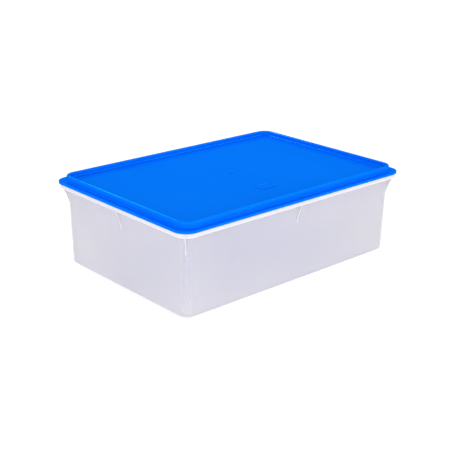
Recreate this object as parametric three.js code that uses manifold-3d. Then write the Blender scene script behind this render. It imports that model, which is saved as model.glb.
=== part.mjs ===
// Rectangular storage container: a translucent moulded tub and the lid that pushes down over its rim.
// Millimetres, +Z up, +X along the long side. The origin is on the ground under the middle of the tub.
import * as THREE from 'three';
import { mergeVertices } from 'three/addons/utils/BufferGeometryUtils.js';
import Module from 'manifold-3d';

const wasm = await Module();
wasm.setup();

// Plan of the whole container, which is the outside of the lid's skirt. Insets are measured in from it.
const LENGTH = 400;
const WIDTH = 277;
const CLEARANCE = 0.3;

// Lid. Heights are from the ground with the lid on.
const LID_SHEET = 1.5;
const SKIRT_BOTTOM = 116.3;
const LID_FLANGE_TOP = 119.6;
const CHANNEL_TOP = 127.8;
const PANEL_TOP = 121.3;
const CHANNEL_INSET = 8.2;
const CHANNEL_WIDTH = 5.4;
const CREST_RADIUS = 2.2;
const FLANGE_EDGE_RADIUS = 0.6;
const PANEL_FILLET = 2;
const SKIRT_TIP_RADIUS = 0.5;

// Shallow round hollow where a moulding was injected, in the lid's panel and under the tub's base.
const GATE_RADIUS = 3.4;
const GATE_DEPTH = 0.6;

// Tub. The base size is taken where the foot's rounding meets the wall.
const TUB_SHEET = 1.8;
const BASE_LENGTH = 374.2;
const FOOT_RADIUS = 5.6;
const LIP_SHEET = 1.6;
const LIP_BOTTOM = 110.2;
const LIP_EDGE_RADIUS = 0.8;
const BEAD_EDGE_RADIUS = 0.7;

// Gusset fins under the tub's rim. The root is how deep a fin is sunk in the walls it joins.
const FIN_THICKNESS = 1.8;
const FIN_BOTTOM = 85;
const FIN_BELLY_HEIGHT = 99;
const FIN_BELLY_REACH = 2.6;
const FIN_ROOT = 0.9;
const FIN_CURVE_STEPS = 6;

// The insets of the corners' centres: one for the walls and channel, one for the wider rim and skirt.
const WALL_CORE = 25.6;
const RIM_CORE = 19;

const CORNER_STEPS = 8;
const ARC_STEPS = 3;

// Sizes that follow from the ones above.
const HALF_LENGTH = LENGTH / 2;
const HALF_WIDTH = WIDTH / 2;
const BASE_INSET = (LENGTH - BASE_LENGTH) / 2;
const BEAD_INSET = CHANNEL_INSET + LID_SHEET + CLEARANCE;
const BEAD_TOP = CHANNEL_TOP - LID_SHEET - CLEARANCE;
const RIM_TOP = LID_FLANGE_TOP - LID_SHEET - CLEARANCE;
const RIM_UNDERSIDE = RIM_TOP - TUB_SHEET;
const LIP_INSET = LID_SHEET + CLEARANCE;
const LIP_INNER_INSET = LIP_INSET + LIP_SHEET;

// The wall leans out evenly from the foot to the rim, where it becomes the upright bead.
function wallInset(height) {
  const share = (height - FOOT_RADIUS) / (RIM_TOP - FOOT_RADIUS);
  return BASE_INSET + (BEAD_INSET - BASE_INSET) * share;
}

// A point of a profile: how far in from the plan's outline, how high, and which corner centre it turns about.
function at(inset, height, core) {
  return { inset, height, core };
}

// The middle of a floor or panel, where the whole ring of a profile point closes up.
function middle(height) {
  return { inset: null, height, core: WALL_CORE };
}

// A round stretch of a profile. Angles are in degrees: 0 points inwards, 90 up, 180 outwards.
function arc(inset, height, radius, from, to, core) {
  const points = [];
  for (let step = 0; step <= ARC_STEPS; step += 1) {
    const angle = THREE.MathUtils.degToRad(from + ((to - from) * step) / ARC_STEPS);
    points.push(at(inset + radius * Math.cos(angle), height + radius * Math.sin(angle), core));
  }
  return points;
}

// A lathe whose four quarters are moved apart, so that the profile runs round a rectangle with round corners.
function roundedRectangleLathe(profile) {
  const columns = CORNER_STEPS + 1;
  const seed = profile.map((point, index) => new THREE.Vector2(1, index));
  const geometry = new THREE.LatheGeometry(seed, 4 * columns);
  const position = geometry.getAttribute('position');
  for (let vertex = 0; vertex < position.count; vertex += 1) {
    const point = profile[vertex % profile.length];
    const column = Math.floor(vertex / profile.length) % (4 * columns);
    const place = ringPlace(point, Math.floor(column / columns), (column % columns) / CORNER_STEPS);
    position.setXYZ(vertex, place.x, place.y, point.height);
  }
  return geometry;
}

// Where a profile point lies in one quarter of its ring, share 0 to 1 of the way round that corner.
function ringPlace(point, quarter, share) {
  if (point.inset === null) return new THREE.Vector2(0, 0);
  const angle = ((quarter + share) * Math.PI) / 2;
  const radius = point.core - point.inset;
  const side = Math.sign(Math.cos(((quarter + 0.5) * Math.PI) / 2));
  const end = Math.sign(Math.sin(((quarter + 0.5) * Math.PI) / 2));
  return new THREE.Vector2(
    side * (HALF_LENGTH - point.core) + radius * Math.cos(angle),
    end * (HALF_WIDTH - point.core) + radius * Math.sin(angle),
  );
}

function toSolid(geometry) {
  const bare = geometry.index ? geometry.toNonIndexed() : geometry.clone();
  bare.deleteAttribute('normal');
  bare.deleteAttribute('uv');
  const merged = mergeVertices(bare, 1e-4);
  const index = merged.index.array;
  const kept = [];
  for (let i = 0; i < index.length; i += 3) {
    const [a, b, c] = [index[i], index[i + 1], index[i + 2]];
    if (a !== b && b !== c && c !== a) kept.push(a, b, c);
  }
  return new wasm.Manifold(
    new wasm.Mesh({
      numProp: 3,
      vertProperties: merged.getAttribute('position').array,
      triVerts: new Uint32Array(kept),
    }),
  );
}

function toMesh(name, solid, material) {
  const mesh = solid.getMesh();
  const geometry = new THREE.BufferGeometry();
  geometry.setAttribute('position', new THREE.BufferAttribute(mesh.vertProperties, 3));
  geometry.setIndex(new THREE.BufferAttribute(mesh.triVerts, 1));
  geometry.computeVertexNormals();
  const part = new THREE.Mesh(geometry, material);
  part.name = name;
  return part;
}

// From the middle of the floor's underside, up the outside, over the rim and back down the inside.
function tubShell() {
  const footInset = BASE_INSET + FOOT_RADIUS;
  const lipTip = LIP_EDGE_RADIUS;
  const innerFoot = FOOT_RADIUS - TUB_SHEET;
  const beadTip = BEAD_EDGE_RADIUS;
  return roundedRectangleLathe([
    middle(0),
    ...arc(footInset, FOOT_RADIUS, FOOT_RADIUS, 270, 180, WALL_CORE),
    at(wallInset(RIM_UNDERSIDE), RIM_UNDERSIDE, WALL_CORE),
    at(LIP_INNER_INSET, RIM_UNDERSIDE, RIM_CORE),
    ...arc(LIP_INNER_INSET - lipTip, LIP_BOTTOM + lipTip, lipTip, 0, -90, RIM_CORE),
    ...arc(LIP_INSET + lipTip, LIP_BOTTOM + lipTip, lipTip, 270, 180, RIM_CORE).slice(1),
    ...arc(LIP_INSET + lipTip, RIM_TOP - lipTip, lipTip, 180, 90, RIM_CORE),
    at(BEAD_INSET, RIM_TOP, WALL_CORE),
    ...arc(BEAD_INSET + beadTip, BEAD_TOP - beadTip, beadTip, 180, 90, WALL_CORE),
    ...arc(BEAD_INSET + TUB_SHEET - beadTip, BEAD_TOP - beadTip, beadTip, 90, 0, WALL_CORE),
    at(BEAD_INSET + TUB_SHEET, RIM_TOP, WALL_CORE),
    ...arc(footInset, FOOT_RADIUS, innerFoot, 180, 270, WALL_CORE),
    middle(TUB_SHEET),
  ]);
}

// One fin in its own plane: x runs outwards from the corner centres of the walls, y is height.
function finOutline(cornerStretch) {
  const outwards = (inset, height) => new THREE.Vector2(WALL_CORE - inset, height);
  const buriedTop = RIM_UNDERSIDE + FIN_ROOT;
  const lipReach = WALL_CORE - LIP_INNER_INSET + cornerStretch + FIN_ROOT;
  const toe = outwards(wallInset(FIN_BOTTOM), FIN_BOTTOM);
  const belly = outwards(wallInset(FIN_BELLY_HEIGHT) - FIN_BELLY_REACH, FIN_BELLY_HEIGHT);
  const tip = new THREE.Vector2(lipReach, LIP_BOTTOM + LIP_EDGE_RADIUS);
  const curve = new THREE.QuadraticBezierCurve(toe, belly, tip);
  return new THREE.Shape([
    outwards(wallInset(FIN_BOTTOM) + FIN_ROOT, FIN_BOTTOM),
    ...curve.getPoints(FIN_CURVE_STEPS),
    new THREE.Vector2(lipReach, buriedTop),
    outwards(wallInset(RIM_UNDERSIDE) + FIN_ROOT, buriedTop),
  ]);
}

// A fin that stands out from the given place in the direction of the angle.
function fin(x, y, angle, cornerStretch) {
  const geometry = new THREE.ExtrudeGeometry(finOutline(cornerStretch), {
    depth: FIN_THICKNESS,
    bevelEnabled: false,
  });
  geometry.translate(0, 0, -FIN_THICKNESS / 2);
  geometry.rotateX(Math.PI / 2);
  geometry.rotateZ(angle);
  geometry.translate(x, y, 0);
  return toSolid(geometry);
}

// One fin in the middle of each side, and one on the diagonal of each corner.
function fins() {
  const coreX = HALF_LENGTH - WALL_CORE;
  const coreY = HALF_WIDTH - WALL_CORE;
  const cornerStretch = (WALL_CORE - RIM_CORE) * (Math.SQRT2 - 1);
  const made = [];
  for (const side of [1, -1]) {
    made.push(fin(side * coreX, 0, side > 0 ? 0 : Math.PI, 0));
    made.push(fin(0, side * coreY, (side * Math.PI) / 2, 0));
    for (const end of [1, -1]) {
      made.push(fin(side * coreX, end * coreY, Math.atan2(end, side), cornerStretch));
    }
  }
  return made;
}

function tub() {
  const material = new THREE.MeshStandardMaterial({ color: 0xd9d9e6, roughness: 0.35, metalness: 0 });
  const solid = fins().reduce((joined, one) => joined.add(one), toSolid(tubShell()));
  return toMesh('tub', solid.subtract(gateHollow(0)), material);
}

// From the middle of the panel's underside, out along the underside, round the skirt and back over the top.
function lidShell() {
  const crest = CREST_RADIUS;
  const edge = FLANGE_EDGE_RADIUS;
  const tip = SKIRT_TIP_RADIUS;
  const recessInset = CHANNEL_INSET + CHANNEL_WIDTH;
  const ceiling = CHANNEL_TOP - LID_SHEET;
  const panelBend = PANEL_TOP + PANEL_FILLET;
  const bendInset = recessInset + PANEL_FILLET;
  return roundedRectangleLathe([
    middle(PANEL_TOP - LID_SHEET),
    ...arc(bendInset, panelBend, PANEL_FILLET + LID_SHEET, 270, 180, WALL_CORE),
    at(recessInset - LID_SHEET, ceiling, WALL_CORE),
    at(CHANNEL_INSET + LID_SHEET, ceiling, WALL_CORE),
    at(CHANNEL_INSET + LID_SHEET, LID_FLANGE_TOP - LID_SHEET, WALL_CORE),
    at(LID_SHEET, LID_FLANGE_TOP - LID_SHEET, RIM_CORE),
    ...arc(LID_SHEET - tip, SKIRT_BOTTOM + tip, tip, 0, -90, RIM_CORE),
    ...arc(tip, SKIRT_BOTTOM + tip, tip, 270, 180, RIM_CORE),
    ...arc(edge, LID_FLANGE_TOP - edge, edge, 180, 90, RIM_CORE),
    at(CHANNEL_INSET, LID_FLANGE_TOP, WALL_CORE),
    ...arc(CHANNEL_INSET + crest, CHANNEL_TOP - crest, crest, 180, 90, WALL_CORE),
    ...arc(recessInset - crest, CHANNEL_TOP - crest, crest, 90, 0, WALL_CORE),
    ...arc(bendInset, panelBend, PANEL_FILLET, 180, 270, WALL_CORE),
    middle(PANEL_TOP),
  ]);
}

// The round hollow that a moulding gate leaves in a face at this height, cut from both its sides alike.
function gateHollow(face) {
  const profile = [
    new THREE.Vector2(0, face - GATE_DEPTH),
    new THREE.Vector2(GATE_RADIUS, face - GATE_DEPTH),
    new THREE.Vector2(GATE_RADIUS, face + GATE_DEPTH),
    new THREE.Vector2(0, face + GATE_DEPTH),
  ];
  const geometry = new THREE.LatheGeometry(profile, 4 * CORNER_STEPS);
  geometry.rotateX(Math.PI / 2);
  return toSolid(geometry);
}

function lid() {
  const material = new THREE.MeshStandardMaterial({ color: 0x0271fb, roughness: 0.4, metalness: 0 });
  return toMesh('lid', toSolid(lidShell()).subtract(gateHollow(PANEL_TOP)), material);
}

const container = new THREE.Group();
container.add(tub(), lid());

export default container;
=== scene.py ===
import math
import bmesh
import bpy
from mathutils import Matrix, Vector


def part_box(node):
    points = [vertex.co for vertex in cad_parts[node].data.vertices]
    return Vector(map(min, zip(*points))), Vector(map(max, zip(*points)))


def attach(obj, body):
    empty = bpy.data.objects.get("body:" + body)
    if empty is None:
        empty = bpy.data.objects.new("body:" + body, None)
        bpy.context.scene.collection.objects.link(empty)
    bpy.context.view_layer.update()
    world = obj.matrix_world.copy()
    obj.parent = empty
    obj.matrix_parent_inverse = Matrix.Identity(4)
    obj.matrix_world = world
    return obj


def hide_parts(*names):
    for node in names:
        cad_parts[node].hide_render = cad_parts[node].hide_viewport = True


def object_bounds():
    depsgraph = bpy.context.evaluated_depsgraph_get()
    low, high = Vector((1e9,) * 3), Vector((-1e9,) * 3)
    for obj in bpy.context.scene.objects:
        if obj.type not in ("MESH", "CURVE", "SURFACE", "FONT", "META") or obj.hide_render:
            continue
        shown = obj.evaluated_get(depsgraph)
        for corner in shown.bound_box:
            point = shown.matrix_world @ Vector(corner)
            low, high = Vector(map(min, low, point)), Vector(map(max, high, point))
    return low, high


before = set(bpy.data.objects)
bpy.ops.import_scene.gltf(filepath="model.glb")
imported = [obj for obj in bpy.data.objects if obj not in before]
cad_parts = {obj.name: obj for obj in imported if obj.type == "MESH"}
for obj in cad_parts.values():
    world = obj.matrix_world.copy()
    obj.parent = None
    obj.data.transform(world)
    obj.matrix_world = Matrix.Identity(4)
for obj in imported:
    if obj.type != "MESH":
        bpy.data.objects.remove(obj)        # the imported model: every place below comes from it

cadLow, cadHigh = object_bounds()        # the box of the imported model; the box that the looks have to stay in
lidLow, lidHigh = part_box("lid")
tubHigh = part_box("tub")[1]
halfPlan = Vector((lidHigh.x, lidHigh.y, 0))        # the lid's skirt reaches furthest out
scene = bpy.context.scene


# Everything here runs round a rectangle with round corners. A stop is (inset from the skirt,
# height, rounding). A chain of stops is bevelled, spun round one corner, drawn out to the middle
# planes and mirrored.
rings = {
    "cornerSteps": 24,
    "roundSteps": 4,
    "wallCore": 0.0256,        # inset of the corner centres of the walls and the channel
    "rimCore": 0.019,          # the same for the wider rim and the skirt
    "sideCuts": 6,             # loops across each half side
    "runOut": 0.001,           # flat left between a rounding and the end of its chain
    "mergeWithin": 0.00001,
}


# Draws an open end straight out to a middle plane and cuts loops across the new strip.
def drawOut(bm, edges, move):
    grown = bmesh.ops.extrude_edge_only(bm, edges=edges)
    tips = [item for item in grown["geom"] if isinstance(item, bmesh.types.BMVert)]
    bmesh.ops.translate(bm, vec=move, verts=tips)
    sides = [e for e in grown["geom"] if isinstance(e, bmesh.types.BMEdge)]
    long = {e for v in tips for e in v.link_edges if e not in sides}
    bmesh.ops.subdivide_edges(bm, edges=list(long), cuts=rings["sideCuts"], use_grid_fill=True)


def quarterRing(stops, core):
    bm = bmesh.new()
    centre = halfPlan - Vector((core, core, 0))
    corners = [bm.verts.new((halfPlan.x - inset, centre.y, height)) for inset, height, _ in stops]
    for first, second in zip(corners, corners[1:]):
        bm.edges.new((first, second))
    for corner, (_, _, rounding) in zip(corners, stops):
        if rounding:
            bmesh.ops.bevel(bm, geom=[corner], offset=rounding, offset_type="OFFSET",
                            affect="VERTICES", segments=rings["roundSteps"], profile=0.5,
                            material=-1, clamp_overlap=True)
    start = bm.edges[:]
    spun = bmesh.ops.spin(bm, geom=bm.verts[:] + bm.edges[:], cent=centre, axis=(0, 0, 1),
                          angle=math.radians(90), steps=rings["cornerSteps"])
    end = [item for item in spun["geom_last"] if isinstance(item, bmesh.types.BMEdge)]
    drawOut(bm, start, (0, -centre.y, 0))
    drawOut(bm, end, (-centre.x, 0, 0))
    return bm


def openEdges(bm, height):
    near = rings["mergeWithin"]
    rims = [e for e in bm.edges if e.is_boundary]
    return [e for e in rims if all(abs(v.co.z - height) < near for v in e.verts)]


def addTo(bm, other):
    held = bpy.data.meshes.new("held")
    other.to_mesh(held)
    other.free()
    bm.from_mesh(held)
    bpy.data.meshes.remove(held)


# One closed shell: the chains are bridged at some heights and closed with a face at others.
def shellOf(chains, bridged, filled):
    bm = bmesh.new()
    for stops, core in chains:
        addTo(bm, quarterRing(stops, core))
    for axis in ("X", "Y"):
        bmesh.ops.mirror(bm, geom=bm.verts[:] + bm.edges[:] + bm.faces[:], axis=axis,
                         merge_dist=rings["mergeWithin"])
    bmesh.ops.remove_doubles(bm, verts=bm.verts[:], dist=rings["mergeWithin"])
    for height in bridged:
        bmesh.ops.bridge_loops(bm, edges=openEdges(bm, height))
    for height in filled:
        bmesh.ops.contextual_create(bm, geom=openEdges(bm, height))
    bmesh.ops.recalc_face_normals(bm, faces=bm.faces[:])
    return bm


finish = {
    "sharpFrom": 40,               # degrees between two faces
    "tooShort": 0.000002,          # edges shorter than this go after a cut
    "faceWeight": 80,
}


def meshOf(bm, name):
    mesh = bpy.data.meshes.new(name)
    for edge in bm.edges:
        edge.smooth = edge.calc_face_angle(0) < math.radians(finish["sharpFrom"])
    for face in bm.faces:
        face.smooth = True
    bm.to_mesh(mesh)
    bm.free()
    return mesh


def objectFrom(bm, name):
    item = bpy.data.objects.new(name, meshOf(bm, name))
    scene.collection.objects.link(item)
    return item


# Cuts a tool out of a piece or joins it on. The tool is used up.
def combine(piece, tool, operation):
    step = piece.modifiers.new("combine", "BOOLEAN")
    step.operation = operation
    step.solver = "EXACT"
    step.object = tool
    ready = piece.evaluated_get(bpy.context.evaluated_depsgraph_get())
    joined = bpy.data.meshes.new_from_object(ready)
    piece.modifiers.remove(step)
    bm = bmesh.new()
    bm.from_mesh(joined)
    bmesh.ops.dissolve_degenerate(bm, edges=bm.edges[:], dist=finish["tooShort"])
    spent = [piece.data, tool.data, joined]
    bpy.data.objects.remove(tool)
    piece.data = meshOf(bm, piece.name)
    for mesh in spent:
        bpy.data.meshes.remove(mesh)


def fitPiece(piece, body, stands, material):
    piece.data.materials.append(material)
    shade = piece.modifiers.new("flatFacesFirst", "WEIGHTED_NORMAL")
    shade.keep_sharp = True
    shade.weight = finish["faceWeight"]
    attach(piece, body)
    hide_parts(stands)


# The mark of the injection gate: a shallow dish with the gate's stub standing in it.
gate = {
    "radius": 0.0034,
    "depth": 0.0006,
    "stub": 0.0011,                # radius of the stub
    "stubDepth": 0.00015,          # how far its top stays under the face
    "slope": 0.0004,
    "steps": 48,
    "clear": 0.001,                # how far the cutter stands out of the face
}


# The stops are (radius, rise) from a face that looks up (outward 1) or down (-1).
def gateCutter(height, outward):
    g = gate
    stops = [
        (0, -g["stubDepth"]),
        (g["stub"], -g["stubDepth"]),
        (g["stub"] + g["slope"], -g["depth"]),
        (g["radius"] - g["slope"], -g["depth"]),
        (g["radius"] + g["slope"], g["depth"]),
        (g["radius"] + g["slope"], g["clear"]),
        (0, g["clear"]),
    ]
    bm = bmesh.new()
    turned = [bm.verts.new((radius, 0, height + outward * rise)) for radius, rise in stops]
    for first, second in zip(turned, turned[1:]):
        bm.edges.new((first, second))
    bmesh.ops.spin(bm, geom=bm.verts[:] + bm.edges[:], cent=(0, 0, 0), axis=(0, 0, 1),
                   angle=math.radians(360), steps=g["steps"], use_merge=True)
    bmesh.ops.remove_doubles(bm, verts=bm.verts[:], dist=rings["mergeWithin"])
    bmesh.ops.recalc_face_normals(bm, faces=bm.faces[:])
    return objectFrom(bm, "gateCutter")


# The lid is one sheet folded into a panel, a hollow channel, a flange and a skirt.
lidShape = {
    "sheet": 0.0015,
    "flangeTop": 0.1196,
    "flangeRun": 0.0012,           # where the flange stops short of the channel
    "flangeFillet": 0.0008,
    "panelTop": 0.1213,
    "channelInset": 0.0082,
    "channelWidth": 0.0054,
    "crest": 0.0022,               # roundings: the channel's top
    "ceiling": 0.0003,             # and its hidden inside
    "edge": 0.0006,                # the flange's outer edge
    "fillet": 0.002,               # down to the panel
    "tip": 0.0005,                 # the skirt's lower edge
}


def lidChains():
    s = lidShape
    sheet, edge, fillet = s["sheet"], s["edge"], s["fillet"]
    recess = s["channelInset"] + s["channelWidth"]
    ceiling = lidHigh.z - sheet
    underside = [
        (recess + fillet + sheet, s["panelTop"] - sheet, 0),
        (recess - sheet, s["panelTop"] - sheet, fillet + sheet),
        (recess - sheet, ceiling, s["ceiling"]),
        (s["channelInset"] + sheet, ceiling, s["ceiling"]),
        (s["channelInset"] + sheet, s["flangeTop"] - sheet, 0),
    ]
    skirt = [
        (sheet, s["flangeTop"] - sheet, 0),
        (sheet, lidLow.z, s["tip"]),
        (0, lidLow.z, s["tip"]),
        (0, s["flangeTop"], edge),
        (edge, s["flangeTop"], 0),
    ]
    top = [
        (s["channelInset"] - s["flangeRun"], s["flangeTop"], 0),
        (s["channelInset"], s["flangeTop"], s["flangeFillet"]),
        (s["channelInset"], lidHigh.z, s["crest"]),
        (recess, lidHigh.z, s["crest"]),
        (recess, s["panelTop"], fillet),
        (recess + fillet + rings["runOut"], s["panelTop"], 0),
    ]
    return [(underside, rings["wallCore"]), (skirt, rings["rimCore"]), (top, rings["wallCore"])]


# A plain raised plate with a border and nothing on it.
badge = {
    "size": (0.031, 0.019),
    "middle": (-0.003, -0.071),
    "height": 0.0004,              # above the panel
    "sunk": 0.0005,                # below it, where the plate joins the lid
    "corner": 0.0045,
    "cornerSteps": 8,
    "border": 0.0016,
    "step": 0.00025,               # width and depth of the step inside the border
}


def blankBadge():
    b = badge
    bm = bmesh.new()
    bmesh.ops.create_cube(bm, size=1)
    bmesh.ops.scale(bm, vec=(*b["size"], b["height"] + b["sunk"]), verts=bm.verts[:])
    uprights = [e for e in bm.edges if abs(e.verts[0].co.z - e.verts[1].co.z) > b["height"]]
    bmesh.ops.bevel(bm, geom=uprights, offset=b["corner"], offset_type="OFFSET", affect="EDGES",
                    segments=b["cornerSteps"], profile=0.5, material=-1)
    top = max(bm.faces, key=lambda face: face.calc_center_median().z)
    bmesh.ops.inset_region(bm, faces=[top], thickness=b["border"], use_even_offset=True)
    bmesh.ops.inset_region(bm, faces=[top], thickness=b["step"], depth=-b["step"],
                           use_even_offset=True)
    middleHeight = lidShape["panelTop"] + b["height"] / 2 - b["sunk"] / 2
    bmesh.ops.translate(bm, vec=(*b["middle"], middleHeight), verts=bm.verts[:])
    bmesh.ops.recalc_face_normals(bm, faces=bm.faces[:])
    return objectFrom(bm, "badge")


def makeLid():
    s = lidShape
    bm = shellOf(lidChains(), bridged=(s["flangeTop"] - s["sheet"], s["flangeTop"]),
                 filled=(s["panelTop"] - s["sheet"], s["panelTop"]))
    piece = objectFrom(bm, "lidMoulding")
    combine(piece, blankBadge(), "UNION")
    combine(piece, gateCutter(s["panelTop"], 1), "DIFFERENCE")
    fitPiece(piece, "lid", "lid", bluePlastic())
    return piece


# The tub is leaning walls on a round foot, a bead that stands up inside the lid's channel and a
# rim that turns down to a lip.
tubShape = {
    "sheet": 0.0018,
    "baseInset": 0.0129,
    "foot": 0.0056,                # rounding between the base and the walls
    "rimTop": 0.1178,
    "beadInset": 0.010,
    "beadEdge": 0.0007,
    "lipInset": 0.0018,
    "lipSheet": 0.0016,
    "lipBottom": 0.1102,
    "lipEdge": 0.0007,
    "lipRun": 0.0003,              # flat left past the lip's rounding
}


# The walls lean straight out from the foot to the bead.
def wallInset(height):
    s = tubShape
    lean = (s["baseInset"] - s["beadInset"]) / (s["rimTop"] - s["foot"])
    return s["baseInset"] - lean * (height - s["foot"])


def tubChains():
    s = tubShape
    sheet, foot = s["sheet"], s["foot"]
    rimUnder = s["rimTop"] - sheet
    runOut = rings["runOut"]
    footInset = wallInset(0)
    outside = [
        (s["baseInset"] + foot + runOut, 0, 0),
        (footInset, 0, foot),
        (wallInset(rimUnder), rimUnder, 0),
    ]
    lip = [
        (s["lipInset"] + s["lipSheet"], rimUnder, 0),
        (s["lipInset"] + s["lipSheet"], s["lipBottom"], s["lipEdge"]),
        (s["lipInset"], s["lipBottom"], s["lipEdge"]),
        (s["lipInset"], s["rimTop"], s["lipEdge"]),
        (s["lipInset"] + s["lipEdge"] + s["lipRun"], s["rimTop"], 0),
    ]
    inside = [
        (s["beadInset"], s["rimTop"], 0),
        (s["beadInset"], tubHigh.z, s["beadEdge"]),
        (s["beadInset"] + sheet, tubHigh.z, s["beadEdge"]),
        (s["beadInset"] + sheet, s["rimTop"], 0),
        (footInset + sheet, sheet, foot - sheet),
        (footInset + foot + runOut, sheet, 0),
    ]
    return [(outside, rings["wallCore"]), (lip, rings["rimCore"]), (inside, rings["wallCore"])]


# The fins under the rim: one in the middle of each side and one on the diagonal of each corner.
fins = {
    "places": 8,
    "thickness": 0.0018,
    "toe": 0.085,                  # height where a fin leaves the wall
    "belly": 0.099,                # height where its edge bends out to the rim
    "bellyReach": 0.0026,
    "bellyRound": 0.0105,
    "bellySteps": 10,
    "root": 0.0009,                # how deep a fin is sunk in the walls that it joins
    "edge": 0.0003,
    "edgeSteps": 2,
    "flatFrom": 0.9,               # a face this square to the fin's sides is one of them
    "cornerFinShade": 1.0,            # how much painted shade darkens the flat sides at the corners
    "middleFinShade": 0.2,            # and in the middles
}


# One fin, standing out along X from the corner centre of the walls.
def finBlank(stretch, finShadeMask):
    f, s, core = fins, tubShape, rings["wallCore"]
    rimUnder = s["rimTop"] - s["sheet"]
    reach = core - s["lipInset"] - s["lipSheet"] + stretch + f["root"]
    outline = [
        (core - wallInset(f["toe"]) - f["root"], f["toe"]),
        (core - wallInset(f["toe"]), f["toe"]),
        (core - wallInset(f["belly"]) + f["bellyReach"], f["belly"]),
        (reach, s["lipBottom"] + s["lipEdge"]),
        (reach, rimUnder + f["root"]),
        (core - wallInset(rimUnder) - f["root"], rimUnder + f["root"]),
    ]
    bm = bmesh.new()
    corners = [bm.verts.new((reached, -f["thickness"] / 2, height)) for reached, height in outline]
    for first, second in zip(corners, corners[1:] + corners[:1]):
        bm.edges.new((first, second))
    bmesh.ops.bevel(bm, geom=[corners[2]], offset=f["bellyRound"], offset_type="OFFSET",
                    affect="VERTICES", segments=f["bellySteps"], profile=0.5, material=-1)
    side = bmesh.ops.contextual_create(bm, geom=bm.edges[:])["faces"]
    grown = bmesh.ops.extrude_face_region(bm, geom=side, use_keep_orig=True)
    far = [item for item in grown["geom"] if isinstance(item, bmesh.types.BMVert)]
    bmesh.ops.translate(bm, vec=(0, f["thickness"], 0), verts=far)
    bmesh.ops.recalc_face_normals(bm, faces=bm.faces[:])
    rims = [e for e in bm.edges if abs(e.verts[0].co.y - e.verts[1].co.y) < f["edge"]]
    bmesh.ops.bevel(bm, geom=rims, offset=f["edge"], offset_type="OFFSET", affect="EDGES",
                    segments=f["edgeSteps"], profile=0.5, material=-1)
    # the rounded edges of a fin are marked for a painted highlight
    highlitEdge = bm.faces.layers.float.new("thickAndHighlit")
    # the flat sides are marked for painted shade
    finShadeLayer = bm.faces.layers.float.new("finShadeMask")
    for face in bm.faces:
        if abs(face.normal.y) > f["flatFrom"]:
            face[finShadeLayer] = finShadeMask
        else:
            face[highlitEdge] = 1
    return bm


# Odd turns are the corners. The rim's corner centres lie further out there, so those fins are
# stretched to meet it.
def allFins():
    centre = halfPlan - Vector((rings["wallCore"], rings["wallCore"], 0))
    stretch = (rings["wallCore"] - rings["rimCore"]) * (math.sqrt(2) - 1)
    bm = bmesh.new()
    for turn in range(fins["places"]):
        angle = math.radians(360 / fins["places"] * turn)
        # the corner fins get more painted shade on their flat sides than the middle ones
        if turn % 2:
            blank = finBlank(stretch, fins["cornerFinShade"])
        else:
            blank = finBlank(0, fins["middleFinShade"])
        spun = Matrix.Rotation(angle, 3, "Z")
        place = Vector((round(math.cos(angle)) * centre.x, round(math.sin(angle)) * centre.y, 0))
        bmesh.ops.rotate(blank, cent=(0, 0, 0), matrix=spun, verts=blank.verts[:])
        bmesh.ops.translate(blank, vec=place, verts=blank.verts[:])
        addTo(bm, blank)
    return objectFrom(bm, "fins")


def makeTub():
    s = tubShape
    bm = shellOf(tubChains(), bridged=(s["rimTop"] - s["sheet"], s["rimTop"]),
                 filled=(0, s["sheet"]))
    piece = objectFrom(bm, "tubMoulding")
    combine(piece, allFins(), "UNION")
    combine(piece, gateCutter(0, -1), "DIFFERENCE")
    fitPiece(piece, "tub", "tub", milkyPlastic())
    return piece


def freshMaterial(name):
    material = bpy.data.materials.new(name)
    material.use_nodes = True
    return material, material.node_tree.nodes, material.node_tree.links


noiseLevels = (0.25, 0.75)        # noise is read as 0 at the first level and as 1 at the second


# Noise on the object's own coordinates, in cells to the metre.
def noiseBand(nodes, links, scale, detail=2, stretch=(1, 1, 1)):
    place = nodes.new("ShaderNodeTexCoord")
    sized = nodes.new("ShaderNodeMapping")
    sized.inputs["Scale"].default_value = stretch
    noise = nodes.new("ShaderNodeTexNoise")
    noise.inputs["Scale"].default_value = scale
    noise.inputs["Detail"].default_value = detail
    band = nodes.new("ShaderNodeMapRange")
    band.interpolation_type = "SMOOTHSTEP"
    band.inputs["From Min"].default_value = noiseLevels[0]
    band.inputs["From Max"].default_value = noiseLevels[1]
    links.new(place.outputs["Object"], sized.inputs["Vector"])
    links.new(sized.outputs["Vector"], noise.inputs["Vector"])
    links.new(noise.outputs["Fac"], band.inputs["Value"])
    return band.outputs["Result"]


# Reads 0 to 1 as low to high.
def spread(nodes, links, source, low, high):
    result = nodes.new("ShaderNodeMapRange")
    result.inputs["To Min"].default_value = low
    result.inputs["To Max"].default_value = high
    links.new(source, result.inputs["Value"])
    return result.outputs["Result"]


# Either colour may be a fixed value or another node's output.
def blendOf(nodes, links, factor, first, second):
    mix = nodes.new("ShaderNodeMix")
    mix.data_type = "RGBA"
    links.new(factor, mix.inputs["Factor"])
    for name, colour in (("A", first), ("B", second)):
        socket = [item for item in mix.inputs if item.name == name and item.type == "RGBA"][0]
        if isinstance(colour, tuple):
            socket.default_value = colour
        else:
            links.new(colour, socket)
    return [item for item in mix.outputs if item.type == "RGBA"][0]


def bumpOf(nodes, links, height, strength, distance):
    bump = nodes.new("ShaderNodeBump")
    bump.inputs["Strength"].default_value = strength
    bump.inputs["Distance"].default_value = distance
    links.new(height, bump.inputs["Height"])
    return bump.outputs["Normal"]


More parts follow.
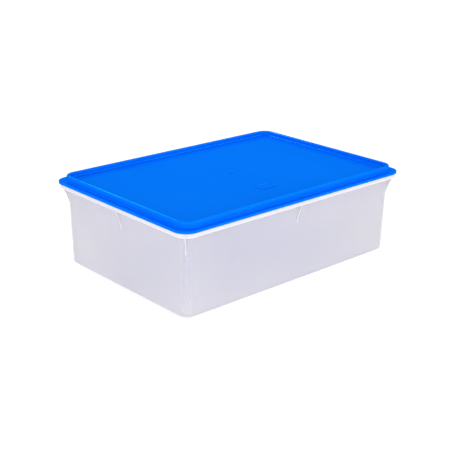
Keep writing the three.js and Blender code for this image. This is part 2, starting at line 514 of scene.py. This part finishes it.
# The tub's plastic: part of the light goes straight through, part glows through from behind and
# the rest is an ordinary soft surface.
milky = {
    "pale": (0.75, 0.735, 0.755, 1),
    "cloudy": (0.73, 0.715, 0.735, 1),
    "low": (0.98, 0.955, 0.94, 1),         # painted light: the base is coloured lighter and warmer, standing in for the light from the bright table under it
    "foot": (0.66, 0.645, 0.68, 1),        # painted shade: the rounding between the base and the walls is coloured darker
    "whiteRimAndHighlight": (0.92, 0.91, 0.92, 1),        # the thick rim, and a painted highlight on the fins' edges
    "paintedFinShade": (0.60, 0.585, 0.62, 1),       # painted shade on the flat sides of the fins
    "clear": (0.985, 0.978, 0.974, 1),     # what the plastic leaves of the light behind it
    "faceOn": 0.25,                        # how solid a face looks square on
    "edgeOn": 0.68,                        # and edge on
    "thickAdds": 0.4,                      # how much more solid the rim and the fins are
    "rimFrom": (0.1092, 0.1102),           # the heights between which the rim starts
    "lowUpTo": (0.0019, 0.0032),           # the heights between which the base's painted light ends
    "footUpTo": (0.0042, 0.0072),          # and the foot's painted shade
    "glow": 0.5,                           # the share of the light that comes from behind
    "cloudScale": 14,
    "cloudVaries": (0.97, 1.03),
    "grainScale": 1400,
    "grainDepth": 0.00003,
    "grainStrength": 0.12,
    "roughness": (0.36, 0.44),
    "shine": 0.2,
}


# The colour of the plastic from the base up to the rim and the fins, with painted light on the
# base, painted shade on the foot and the fins' flat sides and a painted highlight on the fins'
# edges.
def milkyTone(nodes, links, clouds, thickAndHighlit, finShadeMask):
    m = milky
    tone = blendOf(nodes, links, clouds, m["pale"], m["cloudy"])
    below = blendOf(nodes, links, heightBand(nodes, links, m["lowUpTo"]), m["low"], m["foot"])
    tone = blendOf(nodes, links, heightBand(nodes, links, m["footUpTo"]), below, tone)
    tone = blendOf(nodes, links, thickAndHighlit, tone, m["whiteRimAndHighlight"])
    return blendOf(nodes, links, finShadeMask, tone, m["paintedFinShade"])


def milkyPlastic():
    m = milky
    material, nodes, links = freshMaterial("milkyPlastic")
    clouds = noiseBand(nodes, links, m["cloudScale"], detail=1)
    grain = noiseBand(nodes, links, m["grainScale"])
    thickAndHighlit = rimAndHighlitEdges(nodes, links)
    finShadeMask = partMask(nodes, "finShadeMask")
    tone = milkyTone(nodes, links, clouds, thickAndHighlit, finShadeMask)
    surface = nodes["Principled BSDF"]
    surface.inputs["Specular IOR Level"].default_value = m["shine"]
    links.new(tone, surface.inputs["Base Color"])
    links.new(spread(nodes, links, clouds, *m["roughness"]), surface.inputs["Roughness"])
    fine = bumpOf(nodes, links, grain, m["grainStrength"], m["grainDepth"])
    links.new(fine, surface.inputs["Normal"])
    through = nodes.new("ShaderNodeBsdfTranslucent")
    links.new(tone, through.inputs["Color"])
    solid = nodes.new("ShaderNodeMixShader")
    solid.inputs["Fac"].default_value = m["glow"]
    links.new(surface.outputs["BSDF"], solid.inputs[1])
    links.new(through.outputs["BSDF"], solid.inputs[2])
    clear = nodes.new("ShaderNodeBsdfTransparent")
    clear.inputs["Color"].default_value = m["clear"]
    shown = nodes.new("ShaderNodeMixShader")
    links.new(howSolid(nodes, links, clouds, (thickAndHighlit, finShadeMask)), shown.inputs["Fac"])
    links.new(clear.outputs["BSDF"], shown.inputs[1])
    links.new(solid.outputs["Shader"], shown.inputs[2])
    links.new(shown.outputs["Shader"], nodes["Material Output"].inputs["Surface"])
    return material


# What a fin's faces are marked with, 0 elsewhere.
def partMask(nodes, name):
    mark = nodes.new("ShaderNodeAttribute")
    mark.attribute_name = name
    return mark.outputs["Fac"]


# 0 below two heights and 1 above them.
def heightBand(nodes, links, heights):
    place = nodes.new("ShaderNodeTexCoord")
    parts = nodes.new("ShaderNodeSeparateXYZ")
    band = nodes.new("ShaderNodeMapRange")
    band.interpolation_type = "SMOOTHSTEP"
    band.inputs["From Min"].default_value = heights[0]
    band.inputs["From Max"].default_value = heights[1]
    links.new(place.outputs["Object"], parts.inputs["Vector"])
    links.new(parts.outputs["Z"], band.inputs["Value"])
    return band.outputs["Result"]


# 1 on the rolled rim, where the plastic is thick, and on the edges of the fins, where a highlight
# is painted; 0 on the walls and the base.
def rimAndHighlitEdges(nodes, links):
    either = nodes.new("ShaderNodeMath")
    either.operation = "MAXIMUM"
    links.new(heightBand(nodes, links, milky["rimFrom"]), either.inputs[0])
    links.new(partMask(nodes, "thickAndHighlit"), either.inputs[1])
    return either.outputs["Value"]


# More solid where a face is seen edge on, where the plastic is thick, on the fins' faces with
# painted highlight and painted shade, and in its cloudier parts.
def howSolid(nodes, links, clouds, masks):
    m = milky
    angle = nodes.new("ShaderNodeLayerWeight")
    varied = nodes.new("ShaderNodeMath")
    varied.operation = "MULTIPLY_ADD"
    varied.use_clamp = True
    byAngle = spread(nodes, links, angle.outputs["Facing"], m["faceOn"], m["edgeOn"])
    links.new(byAngle, varied.inputs[0])
    links.new(spread(nodes, links, clouds, *m["cloudVaries"]), varied.inputs[1])
    more = nodes.new("ShaderNodeMath")
    more.operation = "MAXIMUM"
    for mask, socket in zip(masks, more.inputs):
        links.new(mask, socket)
    links.new(spread(nodes, links, more.outputs["Value"], 0, m["thickAdds"]), varied.inputs[2])
    return varied.outputs["Value"]


# The lid's plastic: opaque, with a gloss that keeps some of the blue.
blue = {
    "deep": (0.0003, 0.114, 0.79, 1),
    "bright": (0.0005, 0.124, 0.81, 1),
    "flowScale": 9,
    "flowStretch": (1, 0.35, 1),
    "grainScale": 1100,
    "grainDepth": 0.00004,
    "grainStrength": 0.15,
    "glossShare": (0.03, 0.09),            # square on and edge on
    "glossTint": (0.02, 0.85, 1.0, 1),
    "roughness": (0.20, 0.26),
}


def bluePlastic():
    b = blue
    material, nodes, links = freshMaterial("bluePlastic")
    flow = noiseBand(nodes, links, b["flowScale"], detail=4, stretch=b["flowStretch"])
    grain = noiseBand(nodes, links, b["grainScale"])
    normal = bumpOf(nodes, links, grain, b["grainStrength"], b["grainDepth"])
    surface = nodes["Principled BSDF"]
    surface.inputs["Specular IOR Level"].default_value = 0
    links.new(blendOf(nodes, links, flow, b["deep"], b["bright"]), surface.inputs["Base Color"])
    links.new(normal, surface.inputs["Normal"])
    shine = nodes.new("ShaderNodeBsdfGlossy")
    shine.inputs["Color"].default_value = b["glossTint"]
    links.new(spread(nodes, links, flow, *b["roughness"]), shine.inputs["Roughness"])
    links.new(normal, shine.inputs["Normal"])
    angle = nodes.new("ShaderNodeLayerWeight")
    shown = nodes.new("ShaderNodeMixShader")
    share = spread(nodes, links, angle.outputs["Facing"], *b["glossShare"])
    links.new(share, shown.inputs["Fac"])
    links.new(surface.outputs["BSDF"], shown.inputs[1])
    links.new(shine.outputs["BSDF"], shown.inputs[2])
    links.new(shown.outputs["Shader"], nodes["Material Output"].inputs["Surface"])
    return material


studio = {
    "world": 0.85,
    "light": (1, 1, 1, 1),
    "floor": (0.3, 0.3, 0.3, 1),
    "floorGlow": 0.78,             # the table is lit from below, so hardly a shadow falls on it
    "floorRoughness": 0.9,
    "floorSize": 8,
    "floorDrop": 0.0003,
}

# name: (width, height, power, how far it turns round and rises from the front, distance)
softboxes = {
    "keySoftbox": (2.0, 1.2, 42, -50, 0, 2.0),
    "frontSoftbox": (1.2, 1.0, 13, 20, 0, 2.0),
    "sideSoftbox": (0.6, 0.4, 3.0, 62, 44, 1.5),
    "backSoftbox": (0.7, 0.3, 6, 182, 42, 1.5),
}


def makeSurround():
    world = bpy.data.worlds.new("studioWorld")
    scene.world = world
    world.use_nodes = True
    surround = world.node_tree.nodes["Background"]
    surround.inputs["Color"].default_value = studio["light"]
    surround.inputs["Strength"].default_value = studio["world"]


def makeFloor():
    bm = bmesh.new()
    bmesh.ops.create_grid(bm, x_segments=1, y_segments=1, size=studio["floorSize"])
    floor = objectFrom(bm, "studioFloor")
    floor.location.z = -studio["floorDrop"]
    material, nodes, _ = freshMaterial("floorPaper")
    paper = nodes["Principled BSDF"]
    paper.inputs["Base Color"].default_value = studio["floor"]
    paper.inputs["Roughness"].default_value = studio["floorRoughness"]
    paper.inputs["Specular IOR Level"].default_value = 0
    paper.inputs["Emission Color"].default_value = studio["light"]
    paper.inputs["Emission Strength"].default_value = studio["floorGlow"]
    floor.data.materials.append(material)


# The direction from the middle of the container, turned from -Y towards +X and risen from level.
def directionTo(turn, rise):
    turn, rise = math.radians(turn), math.radians(rise)
    level = math.cos(rise)
    return Vector((math.sin(turn) * level, -math.cos(turn) * level, math.sin(rise)))


def makeSoftbox(name, width, height, power, turn, rise, distance):
    data = bpy.data.lights.new(name, "AREA")
    data.shape = "RECTANGLE"
    data.size = width
    data.size_y = height
    data.energy = power
    lamp = bpy.data.objects.new(name, data)
    scene.collection.objects.link(lamp)
    way = directionTo(turn, rise)
    lamp.location = (cadLow + cadHigh) / 2 + way * distance
    lamp.rotation_euler = way.to_track_quat("Z", "Y").to_euler()


camera = {
    "azimuth": -42.19,
    "elevation": 19.96,
    "roll": 0.70,
    "distance": 1.327,
    "aim": (-0.0085, -0.0172),     # sideways and up from the middle of the container
    "lens": 75.66,
}


def makeCamera():
    turn, roll = math.radians(camera["azimuth"]), math.radians(camera["roll"])
    back = directionTo(camera["azimuth"], camera["elevation"])
    level = Vector((math.cos(turn), math.sin(turn), 0))
    up = back.cross(level)
    side = level * math.cos(roll) + up * math.sin(roll)
    up = up * math.cos(roll) - level * math.sin(roll)
    middle = (cadLow + cadHigh) / 2
    place = middle + back * camera["distance"] + side * camera["aim"][0] + up * camera["aim"][1]
    data = bpy.data.cameras.new("camera")
    data.lens = camera["lens"]
    holder = bpy.data.objects.new("camera", data)
    scene.collection.objects.link(holder)
    holder.matrix_world = Matrix((side, up, back)).transposed().to_4x4()
    holder.location = place
    scene.camera = holder


scene.view_settings.view_transform = "Standard"
makeCamera()
makeSurround()
makeFloor()
for name, box in softboxes.items():
    makeSoftbox(name, *box)
print("studio and camera are in place")

tub = makeTub()
print("tub is made,", len(tub.data.polygons), "faces")

lid = makeLid()
print("lid is made,", len(lid.data.polygons), "faces")
